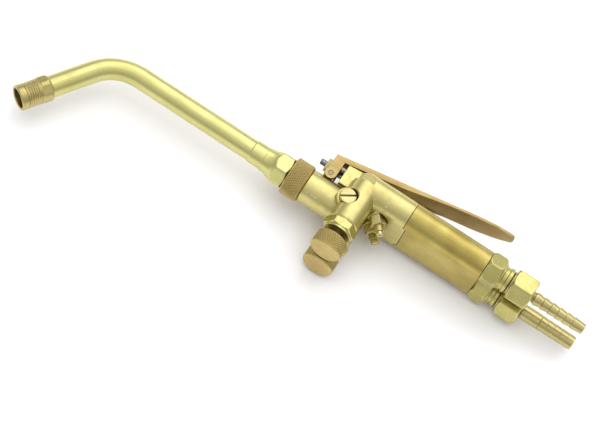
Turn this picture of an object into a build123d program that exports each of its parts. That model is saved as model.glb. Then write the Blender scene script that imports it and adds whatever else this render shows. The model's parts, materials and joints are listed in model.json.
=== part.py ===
from build123d import *
import os
from math import cos, radians, sin, sqrt, tan

os.makedirs("parts", exist_ok=True)

# Two-gas hand torch for lampwork, lying on its side on a bench. Millimetres.
# X runs along the handle towards the tip, Y towards the valve knobs, and Z up.
# Lengths along the torch are counted from the seam between the handle shell and the
# valve body, and heights from the handle's centre line. at() turns them into the
# part's own frame, whose origin is the middle of the footprint, on the bench.

# The two gas lines, one above the other
SIDES = {"oxygen": 1, "fuel": -1}
PORT_Z = 10.0
FLATS = 17.0
CORNERS = FLATS / cos(radians(30))

# Handle
SHELL_ROUND = 8.4
SHELL_WALL = 1.2
SHELL_LENGTH = 47.6
SEAM_STEP = 1.5
SEAM_GAP = 0.25
STEP_HALF_WIDTH = 9.8
END_PLATE = 2.5
GAS_TUBE_R = 3.2
GAS_TUBE_BORE_R = 2.2

# Inlets, union nuts and hose tails, as distances behind the seam
INLET_HEX_END = 56.7
INLET_COLLAR_END = 62.6
INLET_THREAD_END = 67.4
INLET_THREAD_R = 6.6
INLET_SHANK_R = 5.75
NUT_START = 63.8
NUT_END = 76.4
NUT_FLOOR = 73.0
TAIL_SHANK_R = 4.6
TAIL_HEAD_R = 6.0
TAIL_HEAD_START = 67.6
TAIL_BORE_R = 1.5
ROOT_TAPER = 0.15
CREST_FALL = 0.08
BARB_FALL = 0.15
OXYGEN_TAIL_END = 108.5
OXYGEN_LAND_R = 3.6
OXYGEN_LAND = 1.6
OXYGEN_ROOT_R = 3.0
OXYGEN_ROOT = 1.8
OXYGEN_BARBS = 5
OXYGEN_BARB_START = 83.2
OXYGEN_BARB_PITCH = 4.6
OXYGEN_BARB_DEPTH = 0.65
FUEL_TAIL_END = 109.0
FUEL_LAND_R = 4.3
FUEL_LAND = 10.8
FUEL_ROOT_R = 4.0
FUEL_ROOT = 0.6
FUEL_BARBS = 5
FUEL_BARB_START = 88.4
FUEL_BARB_PITCH = 4.1
FUEL_BARB_DEPTH = 0.35

# Valve body
BLOCK_FRONT = 42.1
BLOCK_HALF_WIDTH = 8.5
CHEEK_START = 25.0
CHEEK_END = 34.0
RING_LINE = 13.9
RING_LINE_WIDTH = 0.5
RING_LINE_DEPTH = 0.25
VALVE_X = 27.5
BOSS_R = 8.4
BOSS_TOP = -1.4
BOSS_END = 26.0
NECK_Y = 12.8
NECK_BOSS_R = 9.5
NECK_BOSS_FRONT = 55.7
SPIGOT_R = 8.7
SPIGOT_FRONT = 62.0
PUNCH_MARKS = ((38.7, -0.9), (35.3, -2.6))
PUNCH_MARK_R = 0.45
PLUG_X = 33.1
PLUG_Y = 12.3
PLUG_SEAT = 13.6
PLUG_HEAD_R = 4.65

# Needle valves, measured from the centre line towards the knobs
GLAND_FLATS = 16.3
GLAND_HEX_END = 30.8
GLAND_END = 32.0
PACKING_START = 20.0
PACKING_END = 22.5
KNOB_START = 34.8
KNOB_END = 44.4
KNOB_R = 8.9
STEM_R = 2.3
STEM_THREAD_R = 2.9
RUNNING = 0.05

# Pilot valves: tilted back from square by this angle
PILOT_TILT = 38.0
PILOT_X = 14.8
PILOT_Z = 5.7
PILOT_FLATS = 8.0
PILOT_HEX_END = 5.3
PILOT_COLLAR_END = 8.6
PILOT_SCREW_END = 10.9

# Lever and what it works
PIVOT_X = 48.2
PIVOT_Y = 1.9
PIN_R = 1.4
LEVER_FRONT = 50.9
LEVER_FRONT_Y = -9.7
LEVER_ANGLE = 10.5
LEVER_LENGTH = 105.3
LEVER_HALF_WIDTH = 7.2
LEVER_SHEET = 1.5
TAIL_TAPER = 26.0
TAIL_SHOULDER = 9.0
TAIL_HALF_WIDTH = 2.8
TAIL_CORNER = 2.2
SCREW_Y = -4.6
SCREW_R = 1.7
SCREW_TIP = 44.3
SCREW_HEAD = 56.6
PLUNGER_Y = -5.2
PLUNGER_Z = 3.8
PLUNGER_R = 1.6
PLUNGER_FRONT = LEVER_FRONT - LEVER_SHEET - 0.05
PLUNGER_BACK = 33.0
SPRING_BACK = 25.0

# Neck
TUBE_R = 6.0
TUBE_BORE_R = 5.0
TUBE_START = 80.0
BEND_CORNER = 175.8
BEND_ANGLE = 58.5
BEND_RADIUS = 27.0
LEG = 58.4
FITTING_HEX = 66.7
FITTING_HEX_END = 74.6
FITTING_CONE_END = 81.7
FITTING_END = 89.8
FITTING_BACK = 62.2
NECK_NUT_END = 66.4
NECK_NUT_R = 10.75
TIP_LENGTH = 17.6
TIP_SHOULDER = 5.2
TIP_COLLAR = 4.0
TIP_R = 7.0
TIP_BORE_R = 5.6
TIP_BORE = 9.0

# Smaller features
DECK_FRONT_Y = -7.1
UNDERSIDE_Y = 4.8
UNDERSIDE_START = 36.0
REGISTER = 5.0
TUBE_SOCKET = 3.0
TUBE_END = 51.0
INLET_SHANK = 5.0
DRILL_R = 1.6
GLAND_SPIGOT_R = 5.5
SEAT_Y = 6.2
STEM_THREAD_START = 10.0
STEM_THREAD_END = 17.5
STEM_END = 43.0
PLUG_HEAD = 2.2
PLUG_SHANK_R = 2.0
PLUG_SLOT_TURN = 36.0
PILOT_SPIGOT = 5.0
PILOT_SPIGOT_R = 2.6
PILOT_COLLAR_R = 2.7
PILOT_SCREW_R = 1.5
PILOT_HEAD_R = 2.1
LUG_R = 3.0
LUG_HALF_WIDTH = 5.4
EAR_R = 3.3
FLANGE_END = -15.0
FLANGE_MIDDLE = 12.0
FLANGE_DEPTH = 3.3
WEB_END_Y = -1.9
LOCK_NUT_FLATS = 7.0
LOCK_NUT = 2.4
NOSE_R = 6.0
SEAL_BACK = 39.4
SEAL_LENGTH = 1.4
SEAL_OUTER_R = 2.5
SPRING_WIRE = 0.5
SPRING_R = 1.25
SPRING_PITCH = 1.3
NOZZLE_BACK = 52.0
NOZZLE_FRONT = 70.0
NOZZLE_R = 4.0
RING_X = 58.0
RING_WIRE_R = 0.55
RING_R = 3.44
FITTING_ROUND_R = 9.3
FITTING_THROAT_R = 6.75
FITTING_SHANK_R = 6.7
SLEEVE_R = 6.45
NUT_WEB_X = 64.9
TUBE_LEG = 46.0
TIP_FLATS = 13.4
TIP_PITCH = 1.0

# Where the seam lies: the box round the whole torch is centred on the origin
leg_x = cos(radians(BEND_ANGLE))
leg_y = sin(radians(BEND_ANGLE))
front_reach = BEND_CORNER + LEG * leg_x + TIP_R * leg_y
knob_side_reach = NECK_Y + LEG * leg_y + TIP_R * leg_x
lever_x = cos(radians(LEVER_ANGLE))
lever_y = sin(radians(LEVER_ANGLE))
lever_side_reach = -LEVER_FRONT_Y + LEVER_LENGTH * lever_y
SEAM_X = (FUEL_TAIL_END - front_reach) / 2
LINE_Y = (lever_side_reach - knob_side_reach) / 2
LINE_Z = PORT_Z + CORNERS / 2


def at(x, y=0.0, z=0.0):
    return (SEAM_X + x, LINE_Y + y, LINE_Z + z)


def facing_tip(x, y=0.0, z=0.0):
    # Its own x runs to the knobs and its own y up
    return Plane(origin=at(x, y, z), x_dir=(0, 1, 0), z_dir=(1, 0, 0))


def facing_knobs(y, x=0.0, z=0.0):
    # Its own x runs to the tip and its own y down
    return Plane(origin=at(x, y, z), x_dir=(1, 0, 0), z_dir=(0, 1, 0))


def facing_up(z, x=0.0, y=0.0):
    return Plane(origin=at(x, y, z), x_dir=(1, 0, 0), z_dir=(0, 0, 1))


def line_axis(y, z):
    return Axis(at(0, y, z), (1, 0, 0))


def valve_axis(z):
    return Axis(at(VALVE_X, 0, z), (0, 1, 0))


def pilot_plane(z, along=0.0):
    tilt = radians(PILOT_TILT)
    root = at(PILOT_X - along * sin(tilt), SHELL_ROUND + along * cos(tilt), z)
    return Plane(origin=root, x_dir=(cos(tilt), sin(tilt), 0), z_dir=(-sin(tilt), cos(tilt), 0))


def save(piece, name):
    piece.part.label = name
    export_step(piece.part, "parts/" + name + ".step")


def obround(grow=0.0, mode=Mode.ADD):
    # Two rounds joined by flats: the outline of the handle and of the body behind the valves
    SlotOverall(
        2 * (PORT_Z + SHELL_ROUND + grow),
        2 * (SHELL_ROUND + grow),
        rotation=90,
        mode=mode,
    )


def turned(points, plane, axis, mode=Mode.ADD):
    # A closed outline in the plane, turned about the axis
    with BuildSketch(plane) as outline:
        with BuildLine():
            Polyline(*points, close=True)
        make_face()
    revolve(outline.sketch, axis=axis, mode=mode)


def rod(plane, radius, length, mode=Mode.ADD):
    with BuildSketch(plane) as disc:
        Circle(radius)
    extrude(disc.sketch, amount=length, mode=mode)


def bar(plane, width, height, length, mode=Mode.ADD):
    with BuildSketch(plane) as section:
        Rectangle(width, height)
    extrude(section.sketch, amount=length, mode=mode)


def hexagon(plane, flats, length, turn=0.0):
    with BuildSketch(plane) as section:
        RegularPolygon(flats / 2, 6, major_radius=False, rotation=turn)
    extrude(section.sketch, amount=length)


def hex_blank(start, end, flats, round_r, bevel):
    # The round blank that takes the sharp corners off a hexagon at both ends
    return [
        (start, 0),
        (start, flats / 2 - 0.2),
        (start + bevel, round_r),
        (end - bevel, round_r),
        (end, flats / 2 - 0.2),
        (end, 0),
    ]


def barbs(start, end, count, pitch, crest_r, depth):
    # Outline of the barbs from the land to the open end, each with its steep side towards the hose nut
    points = []
    for index in range(count):
        crest = start - index * pitch
        tooth_r = crest_r - BARB_FALL * index / (count - 1)
        points += [
            (crest - 0.02 * pitch, tooth_r),
            (crest - 0.22 * pitch, tooth_r - CREST_FALL),
            (crest - 0.95 * pitch, crest_r - depth),
        ]
    points[-1] = (end, crest_r - depth - CREST_FALL)
    return points


# ---------------------------------------------------------------- valve body
with BuildPart() as valve_body:
    with BuildSketch(facing_tip(0)):
        obround()
    extrude(amount=BLOCK_FRONT)
    # Seen from the lever's side, the block narrows in front of the valves
    with BuildSketch(facing_knobs(-SHELL_ROUND - 1)):
        with BuildLine():
            Polyline(
                (0, 20),
                (CHEEK_START, 20),
                (CHEEK_START, PORT_Z + SHELL_ROUND),
                (CHEEK_END, BLOCK_HALF_WIDTH),
                (BLOCK_FRONT, BLOCK_HALF_WIDTH),
                (BLOCK_FRONT, -BLOCK_HALF_WIDTH),
                (CHEEK_END, -BLOCK_HALF_WIDTH),
                (CHEEK_START, -PORT_Z - SHELL_ROUND),
                (CHEEK_START, -20),
                (0, -20),
                close=True,
            )
        make_face()
    extrude(amount=2 * SHELL_ROUND + 2, mode=Mode.INTERSECT)
    # The deck under the lever falls a little towards the front
    with BuildSketch(facing_up(-20)):
        with BuildLine():
            Polyline(
                (VALVE_X, -SHELL_ROUND - 2),
                (VALVE_X, -SHELL_ROUND),
                (BLOCK_FRONT + 1, DECK_FRONT_Y),
                (BLOCK_FRONT + 1, -SHELL_ROUND - 2),
                close=True,
            )
        make_face()
    extrude(amount=40, mode=Mode.SUBTRACT)
    # The block's underside is cut back in front of the valves
    underside = facing_up(-20, (UNDERSIDE_START + BLOCK_FRONT) / 2 + 1, UNDERSIDE_Y + 5)
    bar(underside, BLOCK_FRONT - UNDERSIDE_START + 2, 10, 40, Mode.SUBTRACT)
    # A faint ring is turned round the block
    with BuildSketch(facing_tip(RING_LINE - RING_LINE_WIDTH / 2)):
        obround(1)
        obround(-RING_LINE_DEPTH, Mode.SUBTRACT)
    extrude(amount=RING_LINE_WIDTH, mode=Mode.SUBTRACT)
    # Two small punch marks on the near face
    for mark_x, mark_y in PUNCH_MARKS:
        rod(facing_up(BLOCK_HALF_WIDTH - 0.3, mark_x, mark_y), PUNCH_MARK_R, 4, Mode.SUBTRACT)
    # Register for the handle shell, and the step that the seam makes on the underside
    with BuildSketch(facing_tip(-REGISTER)):
        obround(-SHELL_WALL)
    extrude(amount=REGISTER)
    bar(facing_tip(-SEAM_STEP, SHELL_ROUND - 1), 2, 2 * STEP_HALF_WIDTH, SEAM_STEP)
    # Round front of the body, which the neck screws on to
    rod(facing_tip(20, NECK_Y), NECK_BOSS_R, NECK_BOSS_FRONT - 20)
    turned(
        [
            (NECK_BOSS_FRONT - 2.1, NECK_BOSS_R - 0.35),
            (NECK_BOSS_FRONT - 1.8, NECK_BOSS_R - 0.35),
            (NECK_BOSS_FRONT - 1.8, NECK_BOSS_R + 1),
            (NECK_BOSS_FRONT - 2.1, NECK_BOSS_R + 1),
        ],
        facing_up(0, 0, NECK_Y),
        line_axis(NECK_Y, 0),
        Mode.SUBTRACT,
    )
    rod(facing_tip(NECK_BOSS_FRONT, NECK_Y), SPIGOT_R, SPIGOT_FRONT - NECK_BOSS_FRONT)
    # Valve bosses, each with a lip of two thin rings at its mouth
    for side in SIDES.values():
        port = side * PORT_Z
        turned(
            [
                (0, BOSS_TOP),
                (BOSS_R - 1.2, BOSS_TOP),
                (BOSS_R, BOSS_TOP + 1.2),
                (BOSS_R, BOSS_END - 2.0),
                (BOSS_R - 0.35, BOSS_END - 2.0),
                (BOSS_R - 0.35, BOSS_END - 1.6),
                (BOSS_R, BOSS_END - 1.6),
                (BOSS_R, BOSS_END - 0.9),
                (BOSS_R - 0.35, BOSS_END - 0.9),
                (BOSS_R - 0.35, BOSS_END),
                (0, BOSS_END),
            ],
            facing_up(port, VALVE_X),
            valve_axis(port),
        )
        # Pad and spot face of the plug that closes the cross drilling
        rod(facing_up(0, PLUG_X, PLUG_Y), PLUG_HEAD_R + 1.2, side * PLUG_SEAT)
        rod(facing_up(side * PLUG_SEAT, PLUG_X, PLUG_Y), PLUG_HEAD_R + 0.35, side * 8, Mode.SUBTRACT)
        # Pad and spot face of the tilted pilot valve
        pilot_z = side * PILOT_Z
        rod(pilot_plane(pilot_z, -6), PILOT_FLATS / 2 + 0.9, 6)
        rod(pilot_plane(pilot_z), PILOT_FLATS / 2 + 1.1, 4, Mode.SUBTRACT)
    # Lug that carries the lever, and the hollows that its ears turn in
    rod(facing_up(-LUG_HALF_WIDTH, PIVOT_X, PIVOT_Y), LUG_R, 2 * LUG_HALF_WIDTH)
    bar(facing_up(-LUG_HALF_WIDTH, PIVOT_X, PIVOT_Y + 2), 2 * LUG_R, 4, 2 * LUG_HALF_WIDTH)
    for side in SIDES.values():
        rod(
            facing_up(side * LUG_HALF_WIDTH, PIVOT_X, PIVOT_Y),
            EAR_R + 0.7,
            side * (LEVER_HALF_WIDTH + 1.3 - LUG_HALF_WIDTH),
            Mode.SUBTRACT,
        )
    rod(facing_up(-10, PIVOT_X, PIVOT_Y), PIN_R, 20, Mode.SUBTRACT)
    # Mixing bore that the nozzle sits in
    rod(facing_tip(NOZZLE_BACK - 2, NECK_Y), NOZZLE_R + RUNNING, 20, Mode.SUBTRACT)
    rod(facing_tip(PLUG_X - 2, NECK_Y), 2.5, 20, Mode.SUBTRACT)
    for side in SIDES.values():
        port = side * PORT_Z
        # Socket of the gas tube and the drilling to the needle valve's seat
        rod(facing_tip(-REGISTER, 0, port), GAS_TUBE_R, REGISTER + TUBE_SOCKET, Mode.SUBTRACT)
        rod(facing_tip(0, 0, port), DRILL_R, VALVE_X, Mode.SUBTRACT)
        rod(facing_knobs(0, VALVE_X, port), DRILL_R * 0.6, 8, Mode.SUBTRACT)
        # Needle chamber, packing box and the link to the cross drilling
        rod(facing_knobs(6, VALVE_X, port), STEM_THREAD_R + RUNNING, 20, Mode.SUBTRACT)
        rod(facing_knobs(PACKING_START, VALVE_X, port), GLAND_SPIGOT_R, 10, Mode.SUBTRACT)
        rod(facing_tip(VALVE_X, PLUG_Y, port), 1.1, PLUG_X - VALVE_X, Mode.SUBTRACT)
        rod(facing_up(0, PLUG_X, PLUG_Y), 1.6, side * 20, Mode.SUBTRACT)
        rod(facing_up(side * (PLUG_SEAT - 3), PLUG_X, PLUG_Y), PLUG_SHANK_R, side * 10, Mode.SUBTRACT)
        # Plunger bore with its seal groove
        plunger_z = side * PLUNGER_Z
        rod(facing_tip(SPRING_BACK, PLUNGER_Y, plunger_z), PLUNGER_R + 0.04, 30, Mode.SUBTRACT)
        rod(facing_tip(SEAL_BACK, PLUNGER_Y, plunger_z), SEAL_OUTER_R, SEAL_LENGTH, Mode.SUBTRACT)
        # Socket of the pilot valve
        rod(pilot_plane(side * PILOT_Z, -PILOT_SPIGOT), PILOT_SPIGOT_R, 10, Mode.SUBTRACT)
save(valve_body, "valve_body")

# ---------------------------------------------------------------- handle
with BuildPart() as handle_shell:
    with BuildSketch(facing_tip(-SHELL_LENGTH)):
        obround()
        obround(-SHELL_WALL, Mode.SUBTRACT)
    extrude(amount=SHELL_LENGTH - SEAM_GAP)
    step_plane = facing_tip(-SEAM_STEP - SEAM_GAP, SHELL_ROUND)
    bar(step_plane, 4, 2 * (STEP_HALF_WIDTH + SEAM_GAP), 5, Mode.SUBTRACT)
    rims = handle_shell.faces().sort_by(Axis.X)[0].outer_wire().edges()
    chamfer(rims, 0.4)
save(handle_shell, "handle_shell")

with BuildPart() as handle_end_plate:
    with BuildSketch(facing_tip(-SHELL_LENGTH)):
        obround(-SHELL_WALL)
        with Locations((0, PORT_Z), (0, -PORT_Z)):
            Circle(INLET_SHANK_R, mode=Mode.SUBTRACT)
    extrude(amount=END_PLATE)
save(handle_end_plate, "handle_end_plate")


def make_gas_tube(name, side):
    with BuildPart() as tube:
        plane = facing_tip(-TUBE_END, 0, side * PORT_Z)
        rod(plane, GAS_TUBE_R, TUBE_END + TUBE_SOCKET)
        rod(plane, GAS_TUBE_BORE_R, TUBE_END + TUBE_SOCKET, Mode.SUBTRACT)
    save(tube, name)


# ---------------------------------------------------------------- inlets and hose ends
def make_inlet(name, side, turn):
    port = side * PORT_Z
    plane = facing_up(port)
    axis = line_axis(0, port)
    with BuildPart() as inlet:
        hexagon(facing_tip(-INLET_HEX_END, 0, port), FLATS, INLET_HEX_END - SHELL_LENGTH, turn)
        turned(
            hex_blank(-INLET_HEX_END, -SHELL_LENGTH, FLATS, CORNERS / 2, 1.9),
            plane,
            axis,
            Mode.INTERSECT,
        )
        # Shank through the end plate, and the threaded spigot behind a turned collar
        rod(facing_tip(-SHELL_LENGTH, 0, port), INLET_SHANK_R, INLET_SHANK)
        turned(
            [
                (-INLET_THREAD_END, 0),
                (-INLET_THREAD_END, INLET_THREAD_R - 0.8),
                (-INLET_THREAD_END + 0.8, INLET_THREAD_R),
                (-INLET_COLLAR_END - 0.4, INLET_THREAD_R),
                (-INLET_COLLAR_END, INLET_THREAD_R - 0.8),
                (-INLET_COLLAR_END + 0.5, INLET_THREAD_R - 0.8),
                (-INLET_COLLAR_END + 0.5, INLET_THREAD_R + 0.5),
                (-INLET_COLLAR_END + 2.2, INLET_THREAD_R + 0.5),
                (-INLET_COLLAR_END + 2.6, INLET_THREAD_R - 0.2),
                (-INLET_HEX_END - 1.2, INLET_THREAD_R - 0.2),
                (-INLET_HEX_END - 0.8, INLET_THREAD_R + 0.9),
                (-INLET_HEX_END, INLET_THREAD_R + 0.9),
                (-INLET_HEX_END, 0),
            ],
            plane,
            axis,
        )
        rod(facing_tip(-INLET_THREAD_END, 0, port), GAS_TUBE_BORE_R, 40, Mode.SUBTRACT)
        rod(facing_tip(-TUBE_END, 0, port), GAS_TUBE_R, 20, Mode.SUBTRACT)
    save(inlet, name)


def make_hose_nut(name, side, turn):
    port = side * PORT_Z
    plane = facing_up(port)
    axis = line_axis(0, port)
    with BuildPart() as nut:
        hexagon(facing_tip(-NUT_END, 0, port), FLATS, NUT_END - NUT_START, turn)
        turned(
            hex_blank(-NUT_END, -NUT_START, FLATS, CORNERS / 2, 1.4),
            plane,
            axis,
            Mode.INTERSECT,
        )
        rod(facing_tip(-NUT_FLOOR, 0, port), INLET_THREAD_R + RUNNING, 20, Mode.SUBTRACT)
        rod(facing_tip(-NUT_END, 0, port), TAIL_SHANK_R + RUNNING, 20, Mode.SUBTRACT)
    save(nut, name)


def make_hose_tail(name, side, root, root_r, land_r, land, start, end, count, pitch, depth):
    # A plain root behind the nut, a land at full size, then the barbs
    port = side * PORT_Z
    land_start = NUT_END + root
    outline = [
        (-TAIL_HEAD_START, 0),
        (-TAIL_HEAD_START, TAIL_HEAD_R - 1.6),
        (-TAIL_HEAD_START - 1.6, TAIL_HEAD_R),
        (-NUT_FLOOR + 0.1, TAIL_HEAD_R),
        (-NUT_FLOOR + 0.1, TAIL_SHANK_R),
        (-NUT_END, TAIL_SHANK_R),
        (-NUT_END, root_r - ROOT_TAPER),
        (-land_start, root_r),
        (-land_start, land_r),
        (-land_start - land, land_r),
        (-start + 0.05 * pitch, land_r - depth),
    ]
    outline += barbs(-start, -end, count, pitch, land_r, depth)
    outline += [(-end, 0)]
    with BuildPart() as tail:
        turned(outline, facing_up(port), line_axis(0, port))
        rod(facing_tip(-end, 0, port), TAIL_BORE_R, end, Mode.SUBTRACT)
    save(tail, name)


# ---------------------------------------------------------------- needle valves
def make_gland_nut(name, side):
    port = side * PORT_Z
    plane = facing_up(port, VALVE_X)
    with BuildPart() as gland:
        hexagon(facing_knobs(BOSS_END, VALVE_X, port), GLAND_FLATS, GLAND_HEX_END - BOSS_END)
        turned(
            [
                (0, BOSS_END),
                (GLAND_FLATS / 2, BOSS_END),
                (GLAND_FLATS / 2 + 1.2, BOSS_END + 0.8),
                (GLAND_FLATS / 2 + 1.2, GLAND_HEX_END - 0.8),
                (GLAND_FLATS / 2 - 0.1, GLAND_HEX_END),
                (0, GLAND_HEX_END),
            ],
            plane,
            valve_axis(port),
            Mode.INTERSECT,
        )
        rod(facing_knobs(GLAND_HEX_END, VALVE_X, port), GLAND_FLATS / 2 - 0.3, GLAND_END - GLAND_HEX_END)
        rod(facing_knobs(PACKING_END, VALVE_X, port), GLAND_SPIGOT_R, BOSS_END - PACKING_END)
        rod(facing_knobs(PACKING_END, VALVE_X, port), STEM_R + RUNNING, 20, Mode.SUBTRACT)
    save(gland, name)


def make_packing(name, side):
    port = side * PORT_Z
    with BuildPart() as packing:
        rod(facing_knobs(PACKING_START, VALVE_X, port), GLAND_SPIGOT_R, PACKING_END - PACKING_START)
        rod(facing_knobs(PACKING_START, VALVE_X, port), STEM_R + RUNNING, 5, Mode.SUBTRACT)
    save(packing, name)


def make_valve_stem(name, side):
    port = side * PORT_Z
    with BuildPart() as stem:
        turned(
            [
                (0, SEAT_Y),
                (0.5, SEAT_Y),
                (STEM_R - 0.4, SEAT_Y + 3.2),
                (STEM_R - 0.4, STEM_THREAD_START - 0.5),
                (STEM_THREAD_R - 0.5, STEM_THREAD_START),
                (STEM_THREAD_R, STEM_THREAD_START + 0.5),
                (STEM_THREAD_R, STEM_THREAD_END - 0.5),
                (STEM_THREAD_R - 0.5, STEM_THREAD_END),
                (STEM_R, STEM_THREAD_END),
                (STEM_R, STEM_END),
                (0, STEM_END),
            ],
            facing_up(port, VALVE_X),
            valve_axis(port),
        )
    save(stem, name)


def make_knob(name, side):
    port = side * PORT_Z
    with BuildPart() as knob:
        turned(
            [
                (0, KNOB_START),
                (KNOB_R - 2.2, KNOB_START),
                (KNOB_R - 0.9, KNOB_START + 0.7),
                (KNOB_R, KNOB_START + 1.5),
                (KNOB_R, KNOB_END - 0.8),
                (KNOB_R - 0.7, KNOB_END),
                (0, KNOB_END),
            ],
            facing_up(port, VALVE_X),
            valve_axis(port),
        )
        socket = STEM_END + 0.2 - KNOB_START
        rod(facing_knobs(KNOB_START, VALVE_X, port), STEM_R + RUNNING, socket, Mode.SUBTRACT)
    save(knob, name)


# ---------------------------------------------------------------- plugs and pilot valves
def make_side_plug(name, side):
    with BuildPart() as plug:
        rod(facing_up(side * PLUG_SEAT, PLUG_X, PLUG_Y), PLUG_HEAD_R, side * PLUG_HEAD)
        rims = plug.edges().sort_by(Axis.Z)[-1 if side > 0 else 0]
        chamfer(rims, 0.35)
        rod(facing_up(side * (PLUG_SEAT - 3), PLUG_X, PLUG_Y), PLUG_SHANK_R, side * 3)
        slot_plane = facing_up(side * (PLUG_SEAT + PLUG_HEAD - 1.1), PLUG_X, PLUG_Y)
        bar(slot_plane.rotated((0, 0, PLUG_SLOT_TURN)), 20, 1.2, side * 5, Mode.SUBTRACT)
    save(plug, name)


def make_pilot_body(name, side):
    z = side * PILOT_Z
    with BuildPart() as pilot:
        hexagon(pilot_plane(z), PILOT_FLATS, PILOT_HEX_END, 30)
        chamfer(pilot.edges().group_by(lambda edge: pilot_height(edge))[-1], 0.4)
        rod(pilot_plane(z, PILOT_HEX_END), PILOT_COLLAR_R, PILOT_COLLAR_END - PILOT_HEX_END)
        rod(pilot_plane(z, -PILOT_SPIGOT), PILOT_SPIGOT_R, PILOT_SPIGOT)
        rod(pilot_plane(z, -PILOT_SPIGOT), PILOT_SCREW_R + RUNNING, 20, Mode.SUBTRACT)
    save(pilot, name)


def pilot_height(edge):
    tilt = radians(PILOT_TILT)
    middle = edge.center()
    return round(-middle.X * sin(tilt) + middle.Y * cos(tilt), 3)


def make_pilot_screw(name, side):
    z = side * PILOT_Z
    with BuildPart() as screw:
        rod(pilot_plane(z, -PILOT_SPIGOT + 1), PILOT_SCREW_R, PILOT_SPIGOT - 1 + PILOT_COLLAR_END + 0.1)
        rod(pilot_plane(z, PILOT_COLLAR_END + 0.1), PILOT_HEAD_R, PILOT_SCREW_END - PILOT_COLLAR_END - 0.1)
        chamfer(screw.edges().group_by(lambda edge: pilot_height(edge))[-1], 0.3)
        bar(pilot_plane(z, PILOT_SCREW_END - 1.0), 10, 0.9, 4, Mode.SUBTRACT)
    save(screw, name)


# ---------------------------------------------------------------- lever
lever_plane = Plane(
    origin=at(LEVER_FRONT, LEVER_FRONT_Y, 0),
    x_dir=(-lever_x, -lever_y, 0),
    z_dir=(lever_y, -lever_x, 0),
)


def lever_top(x):
    return LEVER_FRONT_Y - (LEVER_FRONT - x) * tan(radians(LEVER_ANGLE))


with BuildPart() as lever:
    # Pressed strip, curving in to a narrow rounded tail
    taper_start = LEVER_LENGTH - TAIL_TAPER
    with BuildSketch(lever_plane):
        with BuildLine():
            Line((0, LEVER_HALF_WIDTH), (taper_start, LEVER_HALF_WIDTH))
            Bezier(
                (taper_start, LEVER_HALF_WIDTH),
                (LEVER_LENGTH - TAIL_SHOULDER, LEVER_HALF_WIDTH),
                (LEVER_LENGTH, TAIL_HALF_WIDTH),
            )
            Line((LEVER_LENGTH, TAIL_HALF_WIDTH), (LEVER_LENGTH, -TAIL_HALF_WIDTH))
            Bezier(
                (LEVER_LENGTH, -TAIL_HALF_WIDTH),
                (LEVER_LENGTH - TAIL_SHOULDER, -LEVER_HALF_WIDTH),
                (taper_start, -LEVER_HALF_WIDTH),
            )
            Line((taper_start, -LEVER_HALF_WIDTH), (0, -LEVER_HALF_WIDTH))
            Line((0, -LEVER_HALF_WIDTH), (0, LEVER_HALF_WIDTH))
        strip = make_face()
        fillet(strip.vertices().group_by(Axis.X)[-1], TAIL_CORNER)
    extrude(amount=-LEVER_SHEET)
    # Turned-down sides that end in the two ears round the pivot
    for side in SIDES.values():
        with BuildSketch(facing_up(side * LEVER_HALF_WIDTH)) as cheek:
            with BuildLine():
                Polyline(
                    (LEVER_FRONT, LEVER_FRONT_Y),
                    (FLANGE_END, lever_top(FLANGE_END)),
                    (FLANGE_END, lever_top(FLANGE_END) + LEVER_SHEET),
                    (FLANGE_MIDDLE, lever_top(FLANGE_MIDDLE) + FLANGE_DEPTH),
                    (PIVOT_X - EAR_R, lever_top(PIVOT_X - EAR_R) + FLANGE_DEPTH),
                    (PIVOT_X - EAR_R, PIVOT_Y),
                    (LEVER_FRONT, PIVOT_Y),
                    close=True,
                )
            make_face()
            with Locations((PIVOT_X, PIVOT_Y)):
                Circle(EAR_R)
        extrude(cheek.sketch, amount=-side * LEVER_SHEET)
    # Front web, which the stop screw goes through
    web_middle = (LEVER_FRONT_Y + WEB_END_Y) / 2
    bar(
        facing_tip(LEVER_FRONT, web_middle),
        WEB_END_Y - LEVER_FRONT_Y,
        2 * LEVER_HALF_WIDTH,
        -LEVER_SHEET,
    )
    rod(facing_up(-10, PIVOT_X, PIVOT_Y), PIN_R + 0.03, 20, Mode.SUBTRACT)
    rod(facing_tip(LEVER_FRONT - 5, SCREW_Y), SCREW_R + RUNNING, 10, Mode.SUBTRACT)
save(lever, "lever")

with BuildPart() as lever_pivot_pin:
    rod(facing_up(-LEVER_HALF_WIDTH, PIVOT_X, PIVOT_Y), PIN_R, 2 * LEVER_HALF_WIDTH)
    chamfer(lever_pivot_pin.edges().filter_by(GeomType.CIRCLE), 0.2)
save(lever_pivot_pin, "lever_pivot_pin")

with BuildPart() as stop_screw:
    rod(facing_tip(SCREW_TIP, SCREW_Y), SCREW_R, SCREW_HEAD - SCREW_TIP)
    chamfer(stop_screw.edges().filter_by(GeomType.CIRCLE), 0.3)
    bar(facing_tip(SCREW_HEAD - 0.9, SCREW_Y), 0.7, 10, 3, Mode.SUBTRACT)
save(stop_screw, "stop_screw")

with BuildPart() as stop_screw_lock_nut:
    hexagon(facing_tip(LEVER_FRONT, SCREW_Y), LOCK_NUT_FLATS, LOCK_NUT, 30)
    chamfer(stop_screw_lock_nut.faces().sort_by(Axis.X)[-1].edges(), 0.35)
    rod(facing_tip(LEVER_FRONT, SCREW_Y), SCREW_R + RUNNING, 5, Mode.SUBTRACT)
save(stop_screw_lock_nut, "stop_screw_lock_nut")


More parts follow.
